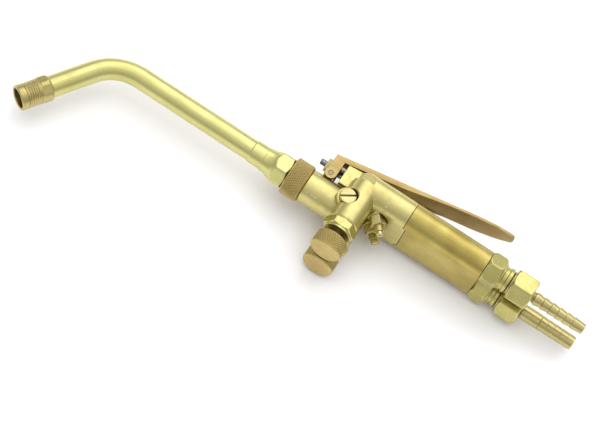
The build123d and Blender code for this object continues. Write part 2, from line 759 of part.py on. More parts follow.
def make_plunger(name, side):
    # A pin with a domed nose that the lever's web rests against
    z = side * PLUNGER_Z
    nose_x = PLUNGER_FRONT - NOSE_R
    nose_back = nose_x + sqrt(NOSE_R**2 - PLUNGER_R**2)
    nose_middle = nose_x + sqrt(NOSE_R**2 - (PLUNGER_R / 2) ** 2)
    with BuildPart() as plunger:
        with BuildSketch(facing_up(z, 0, PLUNGER_Y)) as outline:
            with BuildLine():
                Line((PLUNGER_BACK, 0), (PLUNGER_BACK, PLUNGER_R))
                Line((PLUNGER_BACK, PLUNGER_R), (nose_back, PLUNGER_R))
                ThreePointArc(
                    (nose_back, PLUNGER_R),
                    (nose_middle, PLUNGER_R / 2),
                    (PLUNGER_FRONT, 0),
                )
                Line((PLUNGER_FRONT, 0), (PLUNGER_BACK, 0))
            make_face()
        revolve(outline.sketch, axis=line_axis(PLUNGER_Y, z))
    save(plunger, name)


def make_plunger_seal(name, side):
    plane = facing_tip(SEAL_BACK, PLUNGER_Y, side * PLUNGER_Z)
    with BuildPart() as seal:
        rod(plane, SEAL_OUTER_R, SEAL_LENGTH)
        rod(plane, PLUNGER_R + 0.04, SEAL_LENGTH, Mode.SUBTRACT)
    save(seal, name)


def make_plunger_spring(name, side):
    # Round wire wound between the bore's end and the plunger's back
    turns_length = PLUNGER_BACK - SPRING_BACK - SPRING_WIRE
    start = at(SPRING_BACK + SPRING_WIRE / 2, PLUNGER_Y, side * PLUNGER_Z)
    with BuildPart() as spring:
        with BuildLine() as wire:
            Helix(SPRING_PITCH, turns_length, SPRING_R, center=start, direction=(1, 0, 0))
        with BuildSketch(Plane(origin=wire.line @ 0, z_dir=wire.line % 0)) as section:
            Circle(SPRING_WIRE / 2)
        sweep(section.sketch, path=wire.line, is_frenet=True)
    save(spring, name)


# ---------------------------------------------------------------- neck
with BuildPart() as injector_nozzle:
    turned(
        [
            (NOZZLE_BACK, 0),
            (NOZZLE_BACK, NOZZLE_R - 2.2),
            (NOZZLE_BACK + 2.6, NOZZLE_R),
            (RING_X - RING_WIRE_R - 0.15, NOZZLE_R),
            (RING_X - RING_WIRE_R - 0.15, RING_R - RING_WIRE_R),
            (RING_X + RING_WIRE_R + 0.15, RING_R - RING_WIRE_R),
            (RING_X + RING_WIRE_R + 0.15, NOZZLE_R),
            (NOZZLE_FRONT, NOZZLE_R),
            (NOZZLE_FRONT, 0),
        ],
        facing_up(0, 0, NECK_Y),
        line_axis(NECK_Y, 0),
    )
    rod(facing_tip(NOZZLE_BACK - 1, NECK_Y), 0.7, 40, Mode.SUBTRACT)
    rod(facing_tip(NOZZLE_FRONT - 6, NECK_Y), 1.8, 10, Mode.SUBTRACT)
save(injector_nozzle, "injector_nozzle")

with BuildPart() as nozzle_seal:
    with BuildSketch(facing_up(0, 0, NECK_Y)):
        with Locations((RING_X, RING_R)):
            Circle(RING_WIRE_R)
    revolve(axis=line_axis(NECK_Y, 0))
save(nozzle_seal, "nozzle_seal")

with BuildPart() as neck_base_fitting:
    hexagon(facing_tip(FITTING_HEX, NECK_Y), FLATS, FITTING_HEX_END - FITTING_HEX + 3)
    # The hexagon runs out into a hollowed cone
    with BuildSketch(facing_up(0, 0, NECK_Y)) as blank:
        with BuildLine():
            Line((FITTING_HEX, 0), (FITTING_HEX, FLATS / 2 - 0.1))
            Line((FITTING_HEX, FLATS / 2 - 0.1), (FITTING_HEX + 0.9, FITTING_ROUND_R))
            Line((FITTING_HEX + 0.9, FITTING_ROUND_R), (FITTING_HEX_END - 1.2, FITTING_ROUND_R))
            cone = Bezier(
                (FITTING_HEX_END - 1.2, FITTING_ROUND_R),
                (FITTING_HEX_END + 0.8, FITTING_THROAT_R + 0.9),
                (FITTING_CONE_END - 1.5, FITTING_THROAT_R + 0.1),
                (FITTING_CONE_END, FITTING_THROAT_R),
            )
            Line(cone @ 1, (FITTING_CONE_END, 0))
            Line((FITTING_CONE_END, 0), (FITTING_HEX, 0))
        make_face()
    revolve(blank.sketch, axis=line_axis(NECK_Y, 0), mode=Mode.INTERSECT)
    with BuildSketch(facing_up(0, 0, NECK_Y)) as throat:
        with BuildLine():
            Line((FITTING_HEX_END, 0), (FITTING_HEX_END, FITTING_THROAT_R + 0.7))
            taper = Bezier(
                (FITTING_HEX_END, FITTING_THROAT_R + 0.7),
                (FITTING_HEX_END + 2.2, FITTING_THROAT_R + 0.1),
                (FITTING_CONE_END - 1.5, FITTING_THROAT_R),
                (FITTING_CONE_END, FITTING_THROAT_R),
            )
            Line(taper @ 1, (FITTING_CONE_END, SLEEVE_R))
            Line((FITTING_CONE_END, SLEEVE_R), (FITTING_END - 0.3, SLEEVE_R))
            Line((FITTING_END - 0.3, SLEEVE_R), (FITTING_END, SLEEVE_R - 0.2))
            Line((FITTING_END, SLEEVE_R - 0.2), (FITTING_END, 0))
            Line((FITTING_END, 0), (FITTING_HEX_END, 0))
        make_face()
    revolve(throat.sketch, axis=line_axis(NECK_Y, 0))
    rod(facing_tip(FITTING_BACK, NECK_Y), FITTING_SHANK_R, FITTING_HEX - FITTING_BACK)
    rod(facing_tip(FITTING_BACK, NECK_Y), NOZZLE_R, NOZZLE_FRONT - FITTING_BACK, Mode.SUBTRACT)
    rod(facing_tip(NOZZLE_FRONT, NECK_Y), TUBE_BORE_R - 0.8, 30, Mode.SUBTRACT)
    rod(facing_tip(TUBE_START, NECK_Y), TUBE_R, 30, Mode.SUBTRACT)
save(neck_base_fitting, "neck_base_fitting")

with BuildPart() as neck_retaining_ring:
    rod(facing_tip(FITTING_BACK + 0.6, NECK_Y), SPIGOT_R - 0.4, 1.9)
    rod(facing_tip(FITTING_BACK, NECK_Y), FITTING_SHANK_R, 5, Mode.SUBTRACT)
save(neck_retaining_ring, "neck_retaining_ring")

with BuildPart() as neck_union_nut:
    turned(
        [
            (NECK_BOSS_FRONT + 0.1, 0),
            (NECK_BOSS_FRONT + 0.1, NECK_NUT_R - 1.0),
            (NECK_BOSS_FRONT + 0.8, NECK_NUT_R - 0.3),
            (NECK_NUT_END - 0.45, NECK_NUT_R),
            (NECK_NUT_END, NECK_NUT_R - 0.45),
            (NECK_NUT_END, 0),
        ],
        facing_up(0, 0, NECK_Y),
        line_axis(NECK_Y, 0),
    )
    rod(facing_tip(NECK_BOSS_FRONT, NECK_Y), SPIGOT_R + RUNNING, NUT_WEB_X - NECK_BOSS_FRONT, Mode.SUBTRACT)
    rod(facing_tip(NECK_BOSS_FRONT, NECK_Y), FITTING_SHANK_R + RUNNING, 20, Mode.SUBTRACT)
save(neck_union_nut, "neck_union_nut")


def leg_plane(along):
    # Across the bent end of the neck, this far from where the two straight runs would meet
    root = at(BEND_CORNER + along * leg_x, NECK_Y + along * leg_y, 0)
    return Plane(origin=root, x_dir=(-leg_y, leg_x, 0), z_dir=(leg_x, leg_y, 0))


with BuildPart() as neck_tube:
    with BuildLine() as route:
        FilletPolyline(
            at(TUBE_START, NECK_Y),
            at(BEND_CORNER, NECK_Y),
            at(BEND_CORNER + TUBE_LEG * leg_x, NECK_Y + TUBE_LEG * leg_y),
            radius=BEND_RADIUS,
        )
    with BuildSketch(facing_tip(TUBE_START, NECK_Y)) as section:
        Circle(TUBE_R)
        Circle(TUBE_BORE_R, mode=Mode.SUBTRACT)
    sweep(section.sketch, path=route.line)
save(neck_tube, "neck_tube")

with BuildPart() as tip_connector:
    shoulder = LEG - TIP_LENGTH
    hexagon(leg_plane(shoulder), TIP_FLATS, TIP_SHOULDER, 30)
    rod(leg_plane(shoulder), TIP_FLATS / 2 + 0.45, TIP_SHOULDER, Mode.INTERSECT)
    thread_start = shoulder + TIP_SHOULDER
    rod(leg_plane(thread_start), TIP_R - 0.35, LEG - thread_start)
    # Crests of the outside thread, and the plain collar at the mouth
    crests = int((LEG - TIP_COLLAR - thread_start) / TIP_PITCH)
    for index in range(crests):
        rod(leg_plane(thread_start + (index + 0.5) * TIP_PITCH), TIP_R, TIP_PITCH / 2)
    rod(leg_plane(LEG - TIP_COLLAR), TIP_R, TIP_COLLAR)
    rod(leg_plane(LEG), TIP_BORE_R, -TIP_BORE, Mode.SUBTRACT)
    rod(leg_plane(shoulder - 1), TUBE_BORE_R - 1, 30, Mode.SUBTRACT)
    rod(leg_plane(shoulder - 1), TUBE_R, 1 + TUBE_LEG - shoulder, Mode.SUBTRACT)
save(tip_connector, "tip_connector")

# ---------------------------------------------------------------- one of each for each gas
for gas, side in SIDES.items():
    make_gas_tube(gas + "_gas_tube", side)
    make_gland_nut(gas + "_gland_nut", side)
    make_packing(gas + "_stem_packing", side)
    make_valve_stem(gas + "_valve_stem", side)
    make_knob(gas + "_knob", side)
    make_side_plug(gas + "_side_plug", side)
    make_pilot_body(gas + "_pilot_body", side)
    make_pilot_screw(gas + "_pilot_screw", side)
    make_plunger(gas + "_plunger", side)
    make_plunger_seal(gas + "_plunger_seal", side)
    make_plunger_spring(gas + "_plunger_spring", side)

# The hexagons stop at whatever angle they were tightened to
make_inlet("oxygen_inlet_connector", SIDES["oxygen"], 20)
make_inlet("fuel_inlet_connector", SIDES["fuel"], 30)
make_hose_nut("oxygen_hose_nut", SIDES["oxygen"], 3)
make_hose_nut("fuel_hose_nut", SIDES["fuel"], 47)
make_hose_tail(
    "oxygen_hose_tail",
    SIDES["oxygen"],
    OXYGEN_ROOT,
    OXYGEN_ROOT_R,
    OXYGEN_LAND_R,
    OXYGEN_LAND,
    OXYGEN_BARB_START,
    OXYGEN_TAIL_END,
    OXYGEN_BARBS,
    OXYGEN_BARB_PITCH,
    OXYGEN_BARB_DEPTH,
)
make_hose_tail(
    "fuel_hose_tail",
    SIDES["fuel"],
    FUEL_ROOT,
    FUEL_ROOT_R,
    FUEL_LAND_R,
    FUEL_LAND,
    FUEL_BARB_START,
    FUEL_TAIL_END,
    FUEL_BARBS,
    FUEL_BARB_PITCH,
    FUEL_BARB_DEPTH,
)
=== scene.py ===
import json
import math

import bmesh
import bpy
from mathutils import Matrix, Vector

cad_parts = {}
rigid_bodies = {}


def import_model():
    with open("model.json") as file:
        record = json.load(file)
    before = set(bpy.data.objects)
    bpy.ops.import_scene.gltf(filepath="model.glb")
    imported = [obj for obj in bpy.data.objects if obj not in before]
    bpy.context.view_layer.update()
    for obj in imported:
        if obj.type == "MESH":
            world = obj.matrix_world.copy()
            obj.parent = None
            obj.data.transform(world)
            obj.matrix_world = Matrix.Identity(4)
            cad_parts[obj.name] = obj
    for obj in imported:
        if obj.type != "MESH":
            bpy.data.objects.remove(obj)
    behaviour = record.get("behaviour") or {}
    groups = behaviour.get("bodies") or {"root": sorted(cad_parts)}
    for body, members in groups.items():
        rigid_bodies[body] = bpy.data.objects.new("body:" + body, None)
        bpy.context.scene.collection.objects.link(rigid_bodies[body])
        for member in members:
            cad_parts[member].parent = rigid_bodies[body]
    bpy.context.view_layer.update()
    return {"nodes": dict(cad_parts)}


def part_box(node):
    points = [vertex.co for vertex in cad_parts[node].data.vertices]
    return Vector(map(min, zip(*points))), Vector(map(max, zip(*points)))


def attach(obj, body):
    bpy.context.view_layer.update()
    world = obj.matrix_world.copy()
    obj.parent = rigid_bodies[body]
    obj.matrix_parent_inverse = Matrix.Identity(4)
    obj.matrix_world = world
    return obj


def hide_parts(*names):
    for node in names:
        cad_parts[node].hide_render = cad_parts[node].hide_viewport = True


for thing in list(bpy.data.objects):
    bpy.data.objects.remove(thing)

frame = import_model()
nodes = frame["nodes"]
scene = bpy.context.scene

# ------------------------------------------------------------------ places
# Lengths are millimetres unless a comment says metres, and they are counted as in the part:
# x from the seam between the handle shell and the valve body, y from the handle's middle line
# to the knobs, z up. The frame, the lights and the camera are in metres.
MM = 0.001
SHELL_LENGTH = 47.6
shell_low, shell_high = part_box("handle_shell")
ORIGIN = Vector(
    (
        shell_low.x + SHELL_LENGTH * MM,
        (shell_low.y + shell_high.y) / 2,
        (shell_low.z + shell_high.z) / 2,
    )
)
ROOT = "handle_and_valve_body"
GASES = {"oxygen": 1, "fuel": -1}  # the side of the middle plane each gas is on
PORT_Z = 10.0
VALVE_X = 27.5
NECK_Y = 12.8


def at(x, y=0.0, z=0.0):
    """The part's point (x, y, z) in the scene, in metres."""
    return ORIGIN + Vector((x, y, z)) * MM


def place(origin, along, side):
    """The matrix that takes a piece's own millimetres, x along it, to the scene's metres."""
    along = Vector(along).normalized()
    side = Vector(side)
    side = (side - along * side.dot(along)).normalized()
    up = along.cross(side)
    turn = Matrix((along, side, up)).transposed().to_4x4()
    return Matrix.Translation(origin) @ turn @ Matrix.Scale(MM, 4)


def tip_line(y=0.0, z=0.0):
    """A line that runs from the handle towards the tip."""
    return place(at(0, y, z), (1, 0, 0), (0, 1, 0))


def valve_line(z):
    """The middle line of a needle valve."""
    return place(at(VALVE_X, 0, z), (0, 1, 0), (0, 0, 1))


# ------------------------------------------------------------------ mesh tools
TINY = 1e-6
SOFT_STEPS = 3
SOFT_SHARE = 0.42  # a rounded corner takes up to this share of each side
SOFT_BEND = math.radians(12)  # flatter corners stay as they are
HEX_STEPS = [-30, -26, -20, -13, -7, -3.5, -1.6, -0.6, 0.6, 1.6, 3.5, 7, 13, 20, 26]
HEX_POWER = 70  # a higher power gives sharper hexagon corners
HEX_BLEND = 0.12  # how far the hexagon's sides blend into the turned chamfer
KNURL_FADE = 0.35  # the grooves fade out over this length
KNURL_TOP = 0.62  # the diamonds are flat above this share of their height
MERGE = 2e-6  # metres: vertices closer than this are one
FLAT_ANGLE = math.radians(0.4)
EDGE_ANGLE = math.radians(32)  # sharper edges get a bevel


def finish_piece(obj, body, material, replaces):
    """Gives the piece its material and body, evens its normals, and hides the CAD nodes it
    stands for.
    """
    obj.data.materials.clear()
    obj.data.materials.append(material)
    even = obj.modifiers.new("even", "WEIGHTED_NORMAL")
    even.mode = "FACE_AREA"
    even.keep_sharp = True
    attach(obj, body)
    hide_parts(*replaces)


def add(name, verts, faces, body, material, replaces):
    """A smooth piece from its vertices, in metres, and faces."""
    mesh = bpy.data.meshes.new(name)
    mesh.from_pydata(verts, [], faces)
    mesh.validate()
    work = bmesh.new()
    work.from_mesh(mesh)
    bmesh.ops.recalc_face_normals(work, faces=work.faces)
    work.to_mesh(mesh)
    work.free()
    for face in mesh.polygons:
        face.use_smooth = True
    obj = bpy.data.objects.new(name, mesh)
    scene.collection.objects.link(obj)
    finish_piece(obj, body, material, replaces)


def soften(points, size, closed=False):
    """The outline with its corners rounded, each over up to size of both its sides."""
    out = []
    count = len(points)
    for i, (x, r) in enumerate(points):
        if not closed and i in (0, count - 1):
            out.append((x, r))
            continue
        here = Vector((x, r))
        before = Vector(points[i - 1]) - here
        after = Vector(points[(i + 1) % count]) - here
        if math.pi - before.angle(after) < SOFT_BEND:
            out.append((x, r))
            continue
        reach = min(size, before.length * SOFT_SHARE, after.length * SOFT_SHARE)
        start = here + before.normalized() * reach
        end = here + after.normalized() * reach
        for k in range(SOFT_STEPS + 1):
            t = k / SOFT_STEPS
            p = start * (1 - t) ** 2 + here * 2 * t * (1 - t) + end * t**2
            out.append((p.x, p.y))
    return out


def dense(points, step):
    """The outline with no gap longer than step."""
    out = [points[0]]
    for (x0, r0), (x1, r1) in zip(points, points[1:]):
        parts = max(1, math.ceil(math.hypot(x1 - x0, r1 - r0) / step))
        for k in range(1, parts + 1):
            out.append((x0 + (x1 - x0) * k / parts, r0 + (r1 - r0) * k / parts))
    return out


def even_angles(count):
    return [2 * math.pi * k / count for k in range(count)]


def hex_angles(turn):
    """Angles for a hexagon, close together at its corners."""
    return [math.radians(turn + 60 * k + step) for k in range(6) for step in HEX_STEPS]


def lathe(
    name, line, outline, angles, body, material, replaces, shape=None, closed=False
):
    """The outline of (along, radius) turned about the line's x.

    shape(x, r, angle) may change the radius. A closed outline joins its end to its start.
    """
    verts, rings = [], []
    for x, r in outline:
        if r < TINY:
            rings.append([len(verts)])
            verts.append(line @ Vector((x, 0, 0)))
            continue
        ring = []
        for angle in angles:
            radius = shape(x, r, angle) if shape else r
            ring.append(len(verts))
            verts.append(line @ Vector((x, radius * math.cos(angle), radius * math.sin(angle))))
        rings.append(ring)
    pairs = list(zip(rings, rings[1:]))
    if closed:
        pairs.append((rings[-1], rings[0]))
    faces = []
    for a, b in pairs:
        for k in range(len(angles)):
            j = (k + 1) % len(angles)
            if len(a) == 1:
                faces.append((a[0], b[k], b[j]))
            elif len(b) == 1:
                faces.append((a[k], b[0], a[j]))
            else:
                faces.append((a[k], b[k], b[j], a[j]))
    add(name, verts, faces, body, material, replaces)


def hex_radius(flats, angle, turn):
    """Distance from the middle to a hexagon's side, its corners a little rounded.

    One corner is at turn, in degrees.
    """
    total = 0.0
    for k in range(6):
        c = math.cos(angle - math.radians(turn + 30 + 60 * k))
        if c > 0:
            total += c**HEX_POWER
    return flats / 2 / total ** (1 / HEX_POWER)


def soft_min(a, b):
    """The smaller of two radii, with a smooth change from one to the other."""
    near = max(HEX_BLEND - abs(a - b), 0.0) / HEX_BLEND
    return min(a, b) - near * near * HEX_BLEND * 0.25


def hex_shape(flats, turn, start, end):
    """Cuts the turned blank to a hexagon between start and end."""

    def shape(x, r, angle):
        if start - TINY <= x <= end + TINY:
            return soft_min(r, hex_radius(flats, angle, turn))
        return r

    return shape


def wave(t):
    """A triangle wave: 1 at whole numbers, 0 half way between them."""
    return abs((t % 1.0) - 0.5) * 2


def knurl_shape(radius, teeth, pitch, depth, start, end):
    """Crossed grooves pressed into the rim between start and end."""

    def shape(x, r, angle):
        if not start <= x <= end or abs(r - radius) > KNURL_FADE:
            return r
        edge = min(1.0, (x - start) / KNURL_FADE, (end - x) / KNURL_FADE)
        around = angle * teeth / (2 * math.pi)
        crossed = min(wave(around + x / pitch), wave(around - x / pitch))
        height = min(crossed, KNURL_TOP) / KNURL_TOP
        return r - depth * edge * (1 - height)

    return shape


def bevelled(name, width, material, body, segments=2):
    """A copy of a CAD node with its edges broken."""
    mesh = nodes[name].data.copy()
    work = bmesh.new()
    work.from_mesh(mesh)
    bmesh.ops.remove_doubles(work, verts=work.verts, dist=MERGE)
    bmesh.ops.dissolve_limit(
        work,
        angle_limit=FLAT_ANGLE,
        verts=work.verts,
        edges=work.edges,
        use_dissolve_boundaries=False,
    )
    work.normal_update()
    work.to_mesh(mesh)
    work.free()
    if mesh.has_custom_normals:
        mesh.normals_split_custom_set([(0, 0, 0)] * len(mesh.loops))
    obj = bpy.data.objects.new(name + "_piece", mesh)
    scene.collection.objects.link(obj)
    for face in mesh.polygons:
        face.use_smooth = True
    edge = obj.modifiers.new("edge", "BEVEL")
    edge.width = width * MM
    edge.segments = segments
    edge.limit_method = "ANGLE"
    edge.angle_limit = EDGE_ANGLE
    edge.use_clamp_overlap = True
    finish_piece(obj, body, material, [name])


# ------------------------------------------------------------------ materials
# Noise scales are per metre.
DRIFT_SCALE = 55.0
SPECK_SCALE = 900.0
PATCH_SCALE = 70.0
CORNER_REACH = 0.0035  # metres: how near a wall must be for the painted corner shade
BUMP_HEIGHT = 0.00006  # metres
CORNER_ROUGH = 0.18  # how much rougher the corners with painted shade are


def surface(
    name,
    color,
    dark,
    *,
    rough,
    rough_spread=0.08,
    grain=None,
    grain_scale,
    grain_bump,
    mottled=0.35,
    spots=0.0,
    corner_shade,
    speck_and_shade_color=(0.16, 0.10, 0.02),
    wear=0.0,
    wear_color=(0.95, 0.86, 0.5),
    groove=0.0,
    metallic=1.0,
):
    """A surface with slow colour drift, fine tool marks, and painted shade in its corners.

    grain stretches the tool marks, spots adds small dark specks, wear brightens the edges and
    groove paints shade into the hollows between them.
    """
    mat = bpy.data.materials.new(name)
    mat.use_nodes = True
    tree = mat.node_tree
    make, join = tree.nodes.new, tree.links.new
    for node in list(tree.nodes):
        tree.nodes.remove(node)
    out = make("ShaderNodeOutputMaterial")
    bsdf = make("ShaderNodeBsdfPrincipled")
    join(bsdf.outputs[0], out.inputs[0])
    bsdf.inputs["Metallic"].default_value = metallic
    coords = make("ShaderNodeTexCoord")

    def noise(scale, detail, roughness=0.55, stretch=None):
        tex = make("ShaderNodeTexNoise")
        tex.inputs["Scale"].default_value = scale
        tex.inputs["Detail"].default_value = detail
        tex.inputs["Roughness"].default_value = roughness
        if stretch:
            mapping = make("ShaderNodeMapping")
            mapping.inputs["Scale"].default_value = stretch
            join(coords.outputs["Object"], mapping.inputs["Vector"])
            join(mapping.outputs[0], tex.inputs["Vector"])
        else:
            join(coords.outputs["Object"], tex.inputs["Vector"])
        return tex.outputs["Fac"]

    def spread(value, low, high, out_low=0.0, out_high=1.0):
        node = make("ShaderNodeMapRange")
        node.inputs["From Min"].default_value = low
        node.inputs["From Max"].default_value = high
        node.inputs["To Min"].default_value = out_low
        node.inputs["To Max"].default_value = out_high
        join(value, node.inputs["Value"])
        return node.outputs[0]

    def mix(fac, a, b):
        node = make("ShaderNodeMix")
        node.data_type = "RGBA"
        join(fac, node.inputs[0])
        for socket, value in ((node.inputs[6], a), (node.inputs[7], b)):
            if isinstance(value, tuple):
                socket.default_value = (*value, 1.0)
            else:
                join(value, socket)
        return node.outputs[2]

    def calculate(operation, a, b):
        node = make("ShaderNodeMath")
        node.operation = operation
        for socket, value in zip(node.inputs, (a, b)):
            if isinstance(value, float):
                socket.default_value = value
            else:
                join(value, socket)
        return node.outputs[0]

    def times(a, b):
        return calculate("MULTIPLY", a, b)

    def plus(a, b):
        return calculate("ADD", a, b)

    drift = spread(noise(DRIFT_SCALE, 4.0), 0.35, 0.68)
    tone = mix(times(drift, mottled), color, dark)
    fine = noise(grain_scale, 5.0, 0.65, grain)
    tone = mix(times(spread(fine, 0.3, 0.75), mottled * 0.6), tone, dark)
    if spots:
        speck = spread(noise(SPECK_SCALE, 2.0), 0.66, 0.74)
        patch = spread(noise(PATCH_SCALE, 2.0), 0.45, 0.6)
        tone = mix(times(times(speck, patch), spots), tone, speck_and_shade_color)
    # Painted shade: ambient occlusion darkens the colour in corners and recesses, where shade
    # would fall.
    hollow = make("ShaderNodeAmbientOcclusion")
    hollow.samples = 6
    hollow.inputs["Distance"].default_value = CORNER_REACH
    corner = spread(hollow.outputs["AO"], 0.75, 0.25)
    tone = mix(times(corner, corner_shade), tone, speck_and_shade_color)
    if wear:
        point = make("ShaderNodeNewGeometry").outputs["Pointiness"]
        if groove:
            # Painted shade: pointiness darkens the hollows between the knurl's diamonds.
            tone = mix(times(spread(point, 0.5, 0.45), groove), tone, speck_and_shade_color)
        tone = mix(times(spread(point, 0.515, 0.56), wear), tone, wear_color)
    join(tone, bsdf.inputs["Base Color"])
    gloss = spread(fine, 0.3, 0.7, rough - rough_spread, rough + rough_spread)
    gloss = plus(gloss, times(corner, CORNER_ROUGH))
    gloss = plus(gloss, times(drift, rough_spread * 0.6))
    join(gloss, bsdf.inputs["Roughness"])
    bump = make("ShaderNodeBump")
    bump.inputs["Strength"].default_value = grain_bump
    bump.inputs["Distance"].default_value = BUMP_HEIGHT
    join(fine, bump.inputs["Height"])
    join(bump.outputs[0], bsdf.inputs["Normal"])
    return mat


NECK = surface(
    "neck_brass",
    (0.66, 0.63, 0.26),
    (0.50, 0.46, 0.14),
    rough=0.32,
    rough_spread=0.07,
    grain=(0.35, 1, 1),
    grain_scale=300.0,
    grain_bump=0.06,
    spots=0.5,
    corner_shade=0.75,
)
BODY = surface(
    "body_brass",
    (0.66, 0.59, 0.25),
    (0.50, 0.42, 0.13),
    rough=0.34,
    rough_spread=0.07,
    grain_scale=350.0,
    grain_bump=0.05,
    mottled=0.45,
    corner_shade=0.85,
    wear=0.5,
)
HANDLE = surface(
    "handle_brass",
    (0.60, 0.51, 0.17),
    (0.32, 0.22, 0.04),
    rough=0.36,
    grain=(0.03, 1, 1),
    grain_scale=700.0,
    grain_bump=0.2,
    mottled=0.65,
    corner_shade=0.6,
)
KNURLED = surface(
    "knurled_brass",
    (0.62, 0.49, 0.19),
    (0.40, 0.29, 0.09),
    rough=0.42,
    grain_scale=500.0,
    grain_bump=0.15,
    mottled=0.5,
    corner_shade=0.9,
    speck_and_shade_color=(0.09, 0.055, 0.012),
    wear=0.5,
    wear_color=(0.70, 0.54, 0.22),
    groove=0.9,
)
LEVER = surface(
    "lever_brass",
    (0.44, 0.33, 0.13),
    (0.27, 0.16, 0.04),
    rough=0.38,
    grain=(0.05, 1, 1),
    grain_scale=900.0,
    grain_bump=0.15,
    mottled=0.6,
    corner_shade=0.8,
    speck_and_shade_color=(0.2, 0.09, 0.015),
    wear=0.4,
)
TAIL = surface(
    "hose_tail_brass",
    (0.56, 0.49, 0.22),
    (0.36, 0.29, 0.09),
    rough=0.26,
    rough_spread=0.07,
    grain=(1, 1, 1),
    grain_scale=500.0,
    grain_bump=0.08,
    corner_shade=0.95,
    speck_and_shade_color=(0.13, 0.07, 0.012),
    wear=0.6,
)
NUTS = surface(
    "nut_brass",
    (0.60, 0.55, 0.22),
    (0.38, 0.32, 0.07),
    rough=0.3,
    grain_scale=500.0,
    grain_bump=0.1,
    mottled=0.5,
    corner_shade=0.85,
    wear=0.6,
)
FITTING = surface(
    "fitting_brass",
    (0.56, 0.48, 0.20),
    (0.36, 0.27, 0.08),
    rough=0.32,
    grain_scale=600.0,
    grain_bump=0.12,
    mottled=0.5,
    corner_shade=0.9,
    wear=0.5,
)
BLUED = surface(
    "blued_steel",
    (0.16, 0.20, 0.26),
    (0.07, 0.09, 0.12),
    rough=0.36,
    rough_spread=0.06,
    grain_scale=900.0,
    grain_bump=0.1,
    corner_shade=0.8,
    speck_and_shade_color=(0.03, 0.03, 0.035),
    wear=0.7,
    wear_color=(0.5, 0.53, 0.56),
)
STEEL = surface(
    "steel",
    (0.55, 0.54, 0.51),
    (0.36, 0.34, 0.31),
    rough=0.3,
    grain_scale=900.0,
    grain_bump=0.1,
    corner_shade=0.8,
    speck_and_shade_color=(0.08, 0.07, 0.06),
)
PIN = surface(
    "pivot_pin_steel",
    (0.34, 0.29, 0.17),
    (0.22, 0.18, 0.10),
    rough=0.4,
    grain_scale=900.0,
    grain_bump=0.1,
    corner_shade=0.8,
)
RUBBER = surface(
    "seal_rubber",
    (0.03, 0.03, 0.03),
    (0.015, 0.015, 0.015),
    rough=0.6,
    grain_scale=700.0,
    grain_bump=0.3,
    corner_shade=0.4,
    speck_and_shade_color=(0.01, 0.01, 0.01),
    metallic=0.0,
)
PACKING = surface(
    "packing",
    (0.75, 0.72, 0.66),
    (0.55, 0.52, 0.46),
    rough=0.6,
    rough_spread=0.1,
    grain_scale=700.0,
    grain_bump=0.3,
    corner_shade=0.4,
    speck_and_shade_color=(0.2, 0.18, 0.15),
    metallic=0.0,
)

# ------------------------------------------------------------------ neck
BEND_CORNER, BEND_ANGLE, BEND_RADIUS = 175.8, math.radians(58.5), 27.0
TUBE_START, TUBE_LEG, TUBE_R, TUBE_BORE_R = 80.0, 46.0, 6.0, 5.0
LEG = 58.4  # from the corner of the bend to the tip's front face
LEG_DIR = Vector((math.cos(BEND_ANGLE), math.sin(BEND_ANGLE), 0))
STRAIGHT_STEPS, BEND_STEPS, LEG_STEPS, TUBE_SIDES = 12, 32, 4, 96
BEND_NARROW, BEND_WIDE = 0.022, 0.012  # how much the bend has gone oval, in parts of the radius


def neck_tube():
    """The bent tube, pulled slightly oval in its bend."""
    tangent = BEND_RADIUS * math.tan(BEND_ANGLE / 2)
    corner = Vector((BEND_CORNER, NECK_Y, 0))
    straight = BEND_CORNER - tangent
    middle = Vector((straight, NECK_Y + BEND_RADIUS, 0))
    stations = []  # middle point, direction, how oval
    for k in range(STRAIGHT_STEPS + 1):
        x = TUBE_START + (straight - TUBE_START) * k / STRAIGHT_STEPS
        stations.append((Vector((x, NECK_Y, 0)), 0.0, 0.0))
    for k in range(1, BEND_STEPS + 1):
        t = k / BEND_STEPS
        turn = BEND_ANGLE * t
        p = middle + Vector((math.sin(turn), -math.cos(turn), 0)) * BEND_RADIUS
        stations.append((p, turn, math.sin(math.pi * t)))
    for k in range(1, LEG_STEPS + 1):
        along = tangent + (TUBE_LEG - tangent) * k / LEG_STEPS
        stations.append((corner + LEG_DIR * along, BEND_ANGLE, 0.0))
    verts = []

    def ring(p, turn, radius, oval):
        side = Vector((-math.sin(turn), math.cos(turn), 0))
        first = len(verts)
        for angle in even_angles(TUBE_SIDES):
            flat = 1 - BEND_NARROW * oval
            height = radius * (1 + BEND_WIDE * oval) * math.sin(angle)
            offset = side * (radius * flat * math.cos(angle)) + Vector((0, 0, height))
            verts.append(at(*(p + offset)))
        return list(range(first, first + TUBE_SIDES))

    rings = [ring(p, turn, TUBE_R, oval) for p, turn, oval in stations]
    rings += [ring(p, turn, TUBE_BORE_R, oval) for p, turn, oval in reversed(stations)]
    faces = []
    for a, b in zip(rings, rings[1:] + rings[:1]):
        for k in range(TUBE_SIDES):
            j = (k + 1) % TUBE_SIDES
            faces.append((a[k], b[k], b[j], a[j]))
    add("neck_tube_piece", verts, faces, "neck", NECK, ["neck_tube"])


neck_tube()

